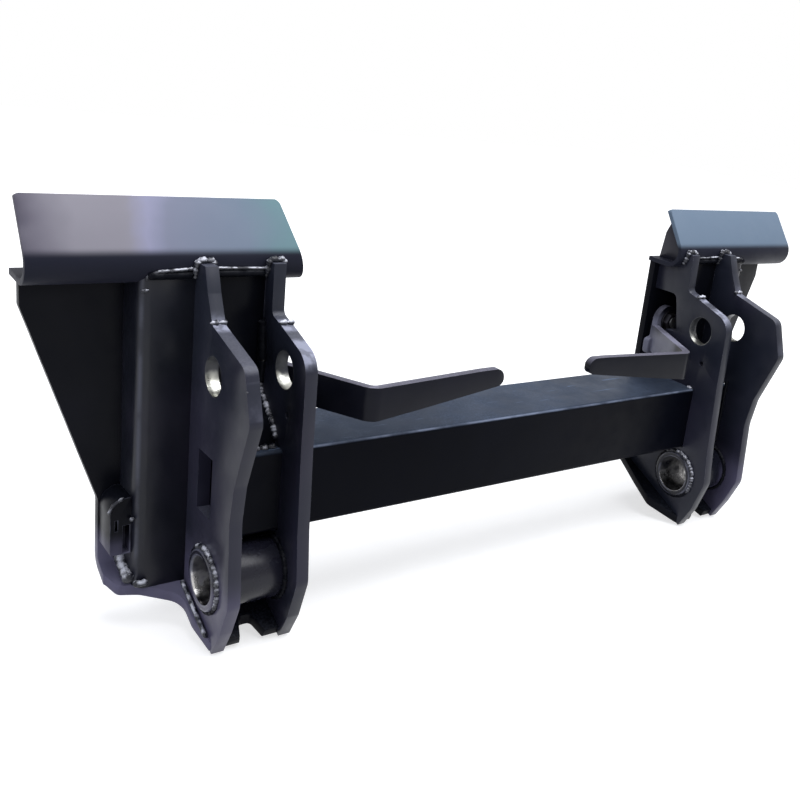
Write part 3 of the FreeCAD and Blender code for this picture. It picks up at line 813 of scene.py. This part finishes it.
class Finishes:
    """All finishes of the coupler, built once."""

    def __init__(self) -> None:
        """Build the groups and the materials."""
        groups = (build_edge_wear_and_highlight_group(), build_dust_and_sheen_group(), build_peel_group())
        purple = (0.062, 0.058, 0.098)
        self.black = PaintFinish("black paint").build(*groups)
        # The plate paint is a darker copy of the black paint: painted shade on the plates, the
        # web and the bracket
        self.plate = PaintFinish("plate paint", colour=(0.0026, 0.0030, 0.0050),
                                 tint=(0.0050, 0.0052, 0.0090), shine=0.06, wear=0.7,
                                 foot=(0.110, 0.104, 0.160), foot_from=0.030,
                                 foot_outside=0.402).build(*groups)
        # The channel's ridge colour is a painted highlight along its bend
        self.channel = RidgeHighlightFinish("channel paint", axis="Z", places=(0.4515, 0.0575),
                                   width=0.004, ridge_highlight=(0.045, 0.048, 0.066)).build(*groups)
        # The tube paint is a darker copy of the black paint, painted shade on its rear face, with
        # painted sheen on its top and a painted highlight along its rear corner
        self.tube = RidgeHighlightFinish("tube paint", colour=(0.0014, 0.0018, 0.0040),
                                tint=(0.0022, 0.0027, 0.0056), dust_and_sheen=(0.090, 0.118, 0.175),
                                shine=0.04, wear=0.4, dusting=0.4, film=0.42,
                                places=(-0.0050, 0.1328), reach=0.313).build(*groups)
        # The lever paint is a darker copy of the black paint, painted shade on its upright faces,
        # with painted highlights on its top edges and painted sheen on its top
        lever = PaintFinish("left lever paint", colour=(0.0040, 0.0046, 0.0080),
                            tint=(0.0070, 0.0072, 0.0125), rubbed_and_highlight=(0.36, 0.36, 0.43),
                            dust_and_sheen=(0.19, 0.185, 0.235), shine=0.10, wear=1.0, dusting=0.45,
                            film=0.50)
        # The right lever's lighter foot tone, high on its arm, is a painted highlight where light
        # falls on the arm
        dust_and_highlight = replace(lever, name="right lever paint", foot=(0.140, 0.142, 0.190),
                        foot_from=0.226, foot_to=0.204, foot_outside=0.264)
        self.lever = {Side.LEFT: lever.build(*groups), Side.RIGHT: dust_and_highlight.build(*groups)}
        # The ear paint is a lighter copy of the black paint, painted light on the ears' open
        # faces; its glints and the low part of its bore are painted highlights
        ear = PaintFinish("outer ear paint", colour=(0.0110, 0.0130, 0.0215),
                          tint=(0.0190, 0.0185, 0.0325), rubbed_and_highlight=(0.34, 0.35, 0.43),
                          dust_and_sheen=(0.25, 0.26, 0.33), steel=(0.46, 0.46, 0.42), wear=1.0,
                          dusting=0.2, film=0.15, foot=purple, bore=(0.001, 0.219, 0.0201),
                          glints=((-0.080, 0.200, 0.026), (0.008, 0.268, 0.016)))
        self.outer_ear = ear.build(*groups)
        # The inner ear's glints are painted highlights along its shoulder and ledge
        self.inner_ear = replace(ear, name="inner ear paint", foot=None,
                                 glints=((-0.042, 0.240, 0.016), (-0.024, 0.252, 0.018),
                                         (0.014, 0.262, 0.014))).build(*groups)
        # The bushing's bore is bare steel low down, a painted highlight, and painted over higher
        # up, painted shade
        self.bushing = PaintFinish("bushing", wear=0.6, roughness=0.22, shine=0.25, foot=purple,
                                   foot_from=0.01, bore=(0.0, 0.0, 0.0256)).build(*groups)
        self.saddle = self.build_saddles(groups)
        self.machined = SteelFinish("machined steel").build()
        self.plated = SteelFinish("plated steel", colour=(0.36, 0.36, 0.37), stained=0.3,
                                   roughness=0.4).build()
        # Nearly black steel for the lever's washer and nut
        self.dark_steel = SteelFinish("dark steel", colour=(0.022, 0.022, 0.028), stained=0.3,
                                     roughness=0.45).build()
        self.weld = WeldFinish("painted weld").build()
        # A darker copy of the weld paint: painted shade on welds that sit in shadow
        self.shaded_weld = WeldFinish("shaded weld", colour=(0.004, 0.0045, 0.007),
                                    bright=0.03, shine=0.03).build()

    def build_saddles(self, groups: tuple[ShaderGroup, ...]) -> dict[Side, Material]:
        """Build the paint of both saddles, with painted reflection along them and painted shade
        in the fold.

        Args:
            groups: The wear, dust and ripple groups.

        Returns:
            The material by side.
        """
        # These tones along the saddles are painted reflection
        shade, plum, grey = (0.062, 0.056, 0.077), (0.130, 0.122, 0.149), (0.201, 0.192, 0.220)
        violet, slate, teal = (0.220, 0.222, 0.310), (0.156, 0.168, 0.226), (0.106, 0.188, 0.204)
        slate_blue, blue_grey = (0.128, 0.161, 0.212), (0.115, 0.156, 0.210)
        reflection_tones = {
            Side.LEFT: ((-0.556, shade), (-0.536, plum), (-0.508, grey), (-0.456, grey),
                        (-0.436, violet), (-0.416, slate), (-0.345, slate_blue),
                        (-0.303, teal)),
            Side.RIGHT: ((0.290, blue_grey), (0.560, blue_grey)),
        }
        return {side: SaddleReflectionFinish("saddle paint " + side.word, roughness=0.5, shine=0.08,
                                   wear=0.4, dusting=0.0, rubbed_and_highlight=(0.2, 0.22, 0.28),
                                   reflection_tones=reflection_tones[side], ripple=0.02, wave=0.5).build(*groups)
                for side in (Side.LEFT, Side.RIGHT)}


# Pieces


def put_in_scene(name: str, mesh: bpy.types.Mesh, material: Material,
                 smooth_angle: float = 32.0) -> bpy.types.Object:
    """Make a smooth-shaded object of a mesh.

    Args:
        name: The object's name.
        mesh: The mesh, in place.
        material: Its finish.
        smooth_angle: Edges sharper than this, in degrees, stay sharp.

    Returns:
        The object.
    """
    mesh.materials.clear()
    mesh.materials.append(material)
    mesh.shade_smooth()
    mesh.set_sharp_from_angle(angle=math.radians(smooth_angle))
    piece = bpy.data.objects.new(name, mesh)
    bpy.context.scene.collection.objects.link(piece)
    return piece


@dataclass(frozen=True)
class DressedNode:
    """A copy of a solid with its edges broken, which stands for that solid.

    Lengths are in millimetres, but the merge distance is in metres, and angles are in
    degrees. The end shift is how far the inner end moves outwards at its top and bottom.
    """

    node: str
    body: str
    slot: str
    edge: float
    end_shift: tuple[float, float] | None = None
    end_length: float = 8.0
    merge: float = 1e-5
    flat_angle: float = 0.6
    sharp_angle: float = 30.0

    def slant_end(self, shape: bmesh.types.BMesh) -> None:
        """Slant the piece's inner end.

        Args:
            shape: The piece's mesh.
        """
        top_shift, bottom_shift = self.end_shift
        inner = min(abs(vert.co.x) for vert in shape.verts)
        bottom = min(vert.co.z for vert in shape.verts)
        top = max(vert.co.z for vert in shape.verts)
        for vert in shape.verts:
            if abs(vert.co.x) < inner + self.end_length * MM:
                share = (vert.co.z - bottom) / (top - bottom)
                shift = bottom_shift + (top_shift - bottom_shift) * share
                vert.co.x += shift * MM * math.copysign(1.0, vert.co.x)

    def build(self, material: Material) -> bpy.types.Object:
        """Copy the solid, break its edges and dress it.

        Args:
            material: The finish.

        Returns:
            The new piece.
        """
        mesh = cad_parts[self.node].data.copy()
        shape = bmesh.new()
        shape.from_mesh(mesh)
        bmesh.ops.remove_doubles(shape, verts=shape.verts, dist=self.merge)
        bmesh.ops.dissolve_limit(shape, angle_limit=math.radians(self.flat_angle),
                                 verts=shape.verts, edges=shape.edges)
        if self.end_shift is not None:
            self.slant_end(shape)
        mark = shape.faces.layers.float.new(EDGE_LAYER)
        least = math.radians(self.sharp_angle)
        sharp = [edge for edge in shape.edges
                 if len(edge.link_faces) == 2 and edge.calc_face_angle(0.0) > least]
        made = bmesh.ops.bevel(shape, geom=sharp, offset=self.edge * MM, offset_type="OFFSET",
                               affect="EDGES", segments=2, profile=0.5, material=-1,
                               clamp_overlap=True)
        for face in made["faces"]:
            face[mark] = 1.0
        bmesh.ops.triangulate(shape, faces=[f for f in shape.faces if len(f.verts) > 4])
        shape.to_mesh(mesh)
        shape.free()
        piece = put_in_scene(self.node + "_finish", mesh, material)
        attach(piece, self.body)
        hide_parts(self.node)
        log.info("%s stands for its solid", piece.name)
        return piece


# Welds


@dataclass(frozen=True)
class Seam:
    """A weld, given in millimetres for the right side. The left side mirrors it.

    The ripple is a share of the radius. A bright seam has a painted highlight on its crests; the
    others take a darker copy of the weld paint, which is painted shade.
    """

    label: str
    path: Path
    radius: float
    ripple: float = 0.09
    bright: bool = True


def ear_seams(ear: str, near: float, far: float, ledge: tuple[float, float]) -> list[Seam]:
    """Seams between an ear and the saddle, and the one on the ear's ledge.

    Args:
        ear: The ear's name.
        near: Place of its inner face along X.
        far: Place of its outer face along X.
        ledge: Y and Z of the ledge.

    Returns:
        The seams.
    """
    seams = [Seam(ear + "_saddle", ((near - 1, 47, 322), (far + 1, 46, 322.5)), 3.3, 0.16)]
    for label, x in (("near", near), ("far", far)):
        seams.append(Seam(f"{ear}_saddle_{label}", ((x, 45, 323), (x, 49, 311), (x, 52, 304)),
                          2.9, 0.2))
    # The bead on the ledge is cut dross, whose crests carry painted highlights
    seams.append(Seam(ear + "_ledge", ((near - 0.5, *ledge), (far + 0.5, *ledge)), 2.3, 0.3))
    return seams


def ring(x: float, start: float = 0.0, end: float = 360.0) -> Path:
    """Points round the bushing, from one angle to another.

    Args:
        x: Place along the axis in millimetres.
        start: First angle in degrees, from the front through the top.
        end: Last angle in degrees.

    Returns:
        The points.
    """
    radius, step = 34.4, 9.0
    count = round((end - start) / step)
    angles = [math.radians(start + (end - start) * index / count) for index in range(count + 1)]
    return tuple((x, radius * math.cos(angle), radius * math.sin(angle)) for angle in angles)


def pivot_seams() -> list[Seam]:
    """Seams round the bushing: two arcs outside each ear, the upper with painted highlights and
    the lower in painted shade, and a ring inside in painted shade.

    Returns:
        The seams.
    """
    bright_arc, shaded_arc = (55.0, 215.0), (210.0, 420.0)
    seams = []
    for label, x in (("outer", 402.0), ("inner", 313.0)):
        seams.append(Seam("pivot_" + label, ring(x, *bright_arc), 2.8, 0.16))
        seams.append(Seam(f"pivot_{label}_foot", ring(x, *shaded_arc), 2.2, bright=False))
    for label, x in (("outer", 387.0), ("inner", 328.0)):
        seams.append(Seam("pivot_between_" + label, ring(x), 2.8, bright=False))
    return seams


PLATE_SEAMS = (
    Seam("channel_saddle_root", ((404, 52, 307), (448, 52, 307)), 4.2, 0.02, False),
    Seam("channel_saddle", ((449, 54, 303), (446, 51.5, 308), (438, 50.2, 311.5),
                            (420, 49.9, 312.5), (404, 49.6, 314)), 1.7),
    Seam("channel_corner", ((453, 56, 291), (446, 53.4, 293)), 1.7),
    Seam("web_saddle_root", ((329, 52, 308), (386, 52, 308)), 4.2, 0.02, False),
    Seam("web_saddle", ((329, 49.9, 312.5), (357, 49.7, 313.4), (386, 49.6, 314)), 1.5, 0.04),
    Seam("web_notch", ((328.5, 50.5, 190), (328.5, 49, 215), (328.5, 53, 258)), 5.2, 0.02,
         False),
    Seam("web_inner_ear", ((328, 53, 192), (328, 49, 181), (328, 18, 157), (328, 8, 142)), 3.4,
         0.15),
    Seam("web_foot", ((330, 4, 135), (384, 4, 135)), 3.4, 0.2),
    Seam("tube_inner_ear_top", ((312.4, -4, 133), (312.4, 5, 134.5)), 2.8),
    Seam("tube_outer_ear", ((386.6, -7.2, 43), (386.6, -7.2, 139)), 2.6, 0.03, False),
    Seam("channel_foot", ((457, 97, -2), (457, 78, -10), (457, 58, -18)), 6.6, 0.04),
    Seam("channel_foot_corner", ((455, 54, -20), (448, 51.5, -20), (441, 51.5, -19)), 3.6,
         0.05),
    Seam("outer_ear_foot", ((404.5, 52, -27), (404.5, -17, -57.5)), 2.3, 0.03),
    Seam("bracket_top", ((478, 61.5, 60), (474, 61.5, 69), (463, 61.5, 76)), 1.7),
    Seam("bracket_tack", ((456, 58, 50), (456, 58, 54)), 3.2),
)
# Spatter dot whose crest carries a painted highlight
SPATTER = Seam("ear_spatter", ((401.6, -77, 228.5), (401.6, -75, 229)), 1.5)


@dataclass(frozen=True)
class WeldBead:
    """The rippled bead of a seam on one side.

    The pitch of the ripples is in millimetres. A second wave, drift times as high, turns by
    drift_turn radians at each step, so the ripples aren't all alike. The ends have the tip's
    share of the bead's size, and it grows from there at each step.
    """

    seam: Seam
    side: Side
    pitch: float = 4.6
    steps: int = 4
    around: int = 10
    drift: float = 1.3
    drift_turn: float = 0.77
    tip: float = 0.45
    growth: float = 0.3
    smooth_angle: float = 80.0

    def stations(self) -> list[Vector]:
        """Points along the path, evenly spaced.

        Returns:
            The points in metres.
        """
        corners = [Vector((x * self.side.value, y, z)) * MM for x, y, z in self.seam.path]
        points = [corners[0]]
        step = self.pitch * MM / self.steps
        for start, end in zip(corners, corners[1:]):
            count = max(1, round((end - start).length / step))
            points += [start.lerp(end, index / count) for index in range(1, count + 1)]
        return points

    def ring_matrix(self, points: list[Vector], index: int) -> Matrix:
        """Place and size of one ring of the bead.

        Args:
            points: The stations.
            index: Which station.

        Returns:
            The matrix that takes the unit circle there.
        """
        last = len(points) - 1
        ahead = points[min(index + 1, last)] - points[max(index - 1, 0)]
        turn = ahead.to_track_quat("Z", "Y").to_matrix().to_4x4()
        phase = 2 * math.pi * index / self.steps
        wave = math.sin(phase) + self.drift * math.sin(index * self.drift_turn)
        wobble = 1.0 + self.seam.ripple * wave
        taper = min(1.0, self.tip + self.growth * min(index, last - index))
        size = self.seam.radius * MM * wobble * taper
        return Matrix.Translation(points[index]) @ turn @ Matrix.Diagonal((size, size, size, 1))

    def build(self, material: Material) -> bpy.types.Object:
        """Sweep the bead along its path.

        Args:
            material: The finish.

        Returns:
            The new piece.
        """
        points = self.stations()
        shape = bmesh.new()
        circle = bmesh.ops.create_circle(shape, segments=self.around, radius=1.0)["verts"]
        previous = self.ring_matrix(points, 0)
        bmesh.ops.transform(shape, matrix=previous, verts=circle)
        edges = list(shape.edges)
        for index in range(1, len(points)):
            grown = bmesh.ops.extrude_edge_only(shape, edges=edges)["geom"]
            verts = [item for item in grown if isinstance(item, bmesh.types.BMVert)]
            edges = [item for item in grown if isinstance(item, bmesh.types.BMEdge)]
            current = self.ring_matrix(points, index)
            bmesh.ops.transform(shape, matrix=current @ previous.inverted(), verts=verts)
            previous = current
        ends = [edge for edge in shape.edges if edge.is_boundary]
        bmesh.ops.holes_fill(shape, edges=ends, sides=0)
        bmesh.ops.recalc_face_normals(shape, faces=shape.faces)
        name = f"weld_{self.seam.label}_{self.side.word}"
        mesh = bpy.data.meshes.new(name)
        shape.to_mesh(mesh)
        shape.free()
        piece = put_in_scene(name, mesh, material, self.smooth_angle)
        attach(piece, "frame")
        return piece


# The coupler

# Body, slot and broken edge in millimetres of each piece
PIECES = {
    "saddle": ("frame", "saddle_paint", 1.0),
    "saddle_rib": ("frame", "black_paint", 0.8),
    "face_plate": ("frame", "black_paint", 1.0),
    "outer_ear": ("frame", "black_paint", 1.2),
    "inner_ear": ("frame", "black_paint", 1.2),
    "web_plate": ("frame", "black_paint", 0.8),
    "side_channel": ("frame", "black_paint", 0.9),
    "side_bracket": ("frame", "black_paint", 0.4),
    "wedge_guide": ("frame", "black_paint", 0.7),
    "pivot_tube": ("frame", "bare_steel", 2.4),
    "lever_stud": ("frame", "bare_steel", 0.6),
    "lever_spacer": ("frame", "bare_steel", 0.4),
    "lever_washer": ("frame", "plated_steel", 0.4),
    "lever_nut": ("frame", "plated_steel", 0.7),
    "lever": ("lever", "black_paint", 1.6),
    "crank_pin": ("lever", "bare_steel", 0.4),
    "link": ("link", "plated_steel", 0.7),
    "wedge": ("wedge", "bare_steel", 0.9),
    "wedge_pin": ("wedge", "bare_steel", 0.4),
}
# How far, in millimetres, each saddle's inner end moves outwards at its top and at its fold
SADDLE_ENDS = {Side.RIGHT: (6.0, 1.0), Side.LEFT: (5.0, -14.0)}


@dataclass(frozen=True)
class Upright:
    """One side's plates, bushing, latch and welds."""

    side: Side
    finishes: Finishes

    def node(self, piece: str) -> str:
        """Name of this side's node or body.

        Args:
            piece: The name without its side.

        Returns:
            The name.
        """
        return f"{piece}_{self.side.word}"

    def material(self, piece: str, slot: str) -> Material:
        """Finish of a piece.

        Args:
            piece: The piece's name without its side.
            slot: The piece's slot in PIECES.

        Returns:
            The material.
        """
        finishes = self.finishes
        by_piece = {"pivot_tube": finishes.bushing, "outer_ear": finishes.outer_ear,
                    "inner_ear": finishes.inner_ear, "face_plate": finishes.plate,
                    "web_plate": finishes.plate, "side_bracket": finishes.plate,
                    "side_channel": finishes.channel, "lever": finishes.lever[self.side],
                    "lever_washer": finishes.dark_steel, "lever_nut": finishes.dark_steel}
        by_slot = {"saddle_paint": finishes.saddle[self.side], "bare_steel": finishes.machined,
                   "plated_steel": finishes.plated, "black_paint": finishes.black}
        return by_piece.get(piece, by_slot[slot])

    def dress(self) -> None:
        """Dress all pieces. A body other than the frame has this side's name."""
        for piece, (body, slot, edge) in PIECES.items():
            carrier = body if body == "frame" else self.node(body)
            shift = SADDLE_ENDS[self.side] if piece == "saddle" else None
            DressedNode(self.node(piece), carrier, slot, edge, shift).build(
                self.material(piece, slot))

    def weld(self) -> None:
        """Lay the beads that hold the upright together."""
        seams = [*ear_seams("outer_ear", near=386.5, far=402.4, ledge=(9.5, 270.0)),
                 *ear_seams("inner_ear", near=312.4, far=328.3, ledge=(15.5, 264.5)),
                 *PLATE_SEAMS]
        if self.side is Side.LEFT:
            seams.append(SPATTER)
        for seam in seams + pivot_seams():
            finish = self.finishes.weld if seam.bright else self.finishes.shaded_weld
            WeldBead(seam, self.side).build(finish)

    def build(self) -> None:
        """Dress and weld the whole upright."""
        self.dress()
        self.weld()
        log.info("upright %s is dressed and welded", self.side.word)


# Studio


def background_rays(tree: Tree) -> Socket:
    """Add the mask of rays that show the background.

    Args:
        tree: The node tree.

    Returns:
        The socket that is 1 for camera, glossy and transmission rays.
    """
    rays = add_node(tree, "ShaderNodeLightPath").outputs
    mirrored = combine(tree, "MAXIMUM", rays["Is Glossy Ray"], rays["Is Transmission Ray"])
    return combine(tree, "MAXIMUM", rays["Is Camera Ray"], mirrored)


@dataclass(frozen=True)
class Lamp:
    """A soft square lamp that looks at the coupler, in metres and watts."""

    name: str
    place: Point
    size: float
    power: float
    colour: Colour
    target: Point = (0.0, 0.0, 0.12)

    def build(self) -> None:
        """Put the lamp in the scene."""
        data = bpy.data.lights.new(self.name, "AREA")
        data.size = self.size
        data.energy = self.power
        data.color = self.colour
        lamp = bpy.data.objects.new(self.name, data)
        aim = Vector(self.target) - Vector(self.place)
        lamp.rotation_euler = aim.to_track_quat("-Z", "Y").to_euler()
        lamp.location = self.place
        bpy.context.scene.collection.objects.link(lamp)


@dataclass(frozen=True)
class Studio:
    """Floor, backdrop, lamps and camera.

    Lengths are in metres, angles in degrees, and the camera's focal length and centre in pixels
    of the square picture. The floor shines a little by itself: floor_lift up to floor_near from
    the middle, and 1 past floor_far. The weaker glow near the middle is painted shade on the
    floor round the coupler.
    """

    floor_height: float = -0.0765
    floor_size: float = 6.0
    floor_colours: tuple[Colour, Colour] = ((0.58, 0.58, 0.58), (0.61, 0.61, 0.61))
    floor_roughness: float = 0.9
    floor_lift: float = 0.64
    floor_near: float = 0.5
    floor_far: float = 1.8
    fill_colour: Colour = (0.80, 0.86, 1.0)
    fill_strength: float = 0.3
    lamps: tuple[Lamp, ...] = (
        Lamp("overhead", (0.5, -0.45, 2.4), size=2.6, power=105.0, colour=(0.96, 0.97, 1.0)),
        Lamp("left", (-2.5, -0.6, 1.3), size=1.4, power=24.0, colour=(0.93, 0.95, 1.0)),
    )
    camera_place: Point = (-0.7642, -0.8567, 0.5348)
    camera_turn: tuple[float, float, float] = (73.626, -7.428, -38.730)
    sensor_width: float = 36.0
    focal_pixels: float = 976.41
    image_pixels: float = 800.0
    centre_x: float = 516.97
    centre_y: float = 359.60

    def build(self) -> None:
        """Set up the whole studio."""
        self.make_floor()
        self.make_world()
        for lamp in self.lamps:
            lamp.build()
        self.make_camera()
        bpy.context.scene.view_settings.view_transform = "Standard"
        log.info("studio is set up")

    def make_floor(self) -> None:
        """Make the pale floor."""
        shape = bmesh.new()
        bmesh.ops.create_grid(shape, x_segments=8, y_segments=8, size=self.floor_size)
        bmesh.ops.translate(shape, verts=shape.verts, vec=(0.0, 0.0, self.floor_height))
        mesh = bpy.data.meshes.new("floor")
        shape.to_mesh(mesh)
        shape.free()
        material, tree, shader = new_material("pale floor")
        place = object_place(tree)
        tone = blend_colour(tree, spread(tree, place, FLOOR_SPECKLE), *self.floor_colours)
        join(tree, tone, shader.inputs["Base Color"])
        fill_in(shader, Roughness=self.floor_roughness)
        bright = add_node(tree, "ShaderNodeEmission")
        fill_in(bright, Color=WHITE)
        # Weaker glow near the middle: painted shade round the coupler
        reach = distance(tree, place, "Z", (0.0, 0.0))
        lift = remap(tree, reach, self.floor_near, self.floor_far, self.floor_lift, 1.0)
        join(tree, multiply(tree, background_rays(tree), lift), bright.inputs["Strength"])
        both = add_node(tree, "ShaderNodeAddShader")
        join(tree, shader.outputs["BSDF"], both.inputs[0])
        join(tree, bright.outputs["Emission"], both.inputs[1])
        join(tree, both.outputs["Shader"], tree.nodes["Material Output"].inputs["Surface"])
        floor = put_in_scene("floor", mesh, material)

    def make_world(self) -> None:
        """Make the white backdrop and the soft fill."""
        world = bpy.data.worlds.new("studio")
        bpy.context.scene.world = world
        world.use_nodes = True
        tree = world.node_tree
        fill = tree.nodes["Background"]
        fill_in(fill, Color=(*self.fill_colour, 1.0), Strength=self.fill_strength)
        backdrop = add_node(tree, "ShaderNodeBackground")
        fill_in(backdrop, Color=WHITE)
        mix = add_node(tree, "ShaderNodeMixShader")
        sources = (background_rays(tree), fill.outputs[0], backdrop.outputs[0])
        for source, target in zip(sources, mix.inputs):
            join(tree, source, target)
        join(tree, mix.outputs["Shader"], tree.nodes["World Output"].inputs["Surface"])

    def make_camera(self) -> None:
        """Place the camera as the photograph's."""
        data = bpy.data.cameras.new("camera")
        data.sensor_width = self.sensor_width
        data.lens = self.focal_pixels / self.image_pixels * data.sensor_width
        half = self.image_pixels / 2
        data.shift_x = (half - self.centre_x) / self.image_pixels
        data.shift_y = (self.centre_y - half) / self.image_pixels
        camera = bpy.data.objects.new("camera", data)
        camera.location = self.camera_place
        camera.rotation_euler = [math.radians(angle) for angle in self.camera_turn]
        bpy.context.scene.collection.objects.link(camera)
        bpy.context.scene.camera = camera


def main() -> None:
    """Build everything in order."""
    finishes = Finishes()
    DressedNode("cross_tube", "frame", "black_paint", edge=0.2).build(finishes.tube)
    for side in Side:
        Upright(side, finishes).build()
    Studio().build()


if __name__ == "__main__":
    main()
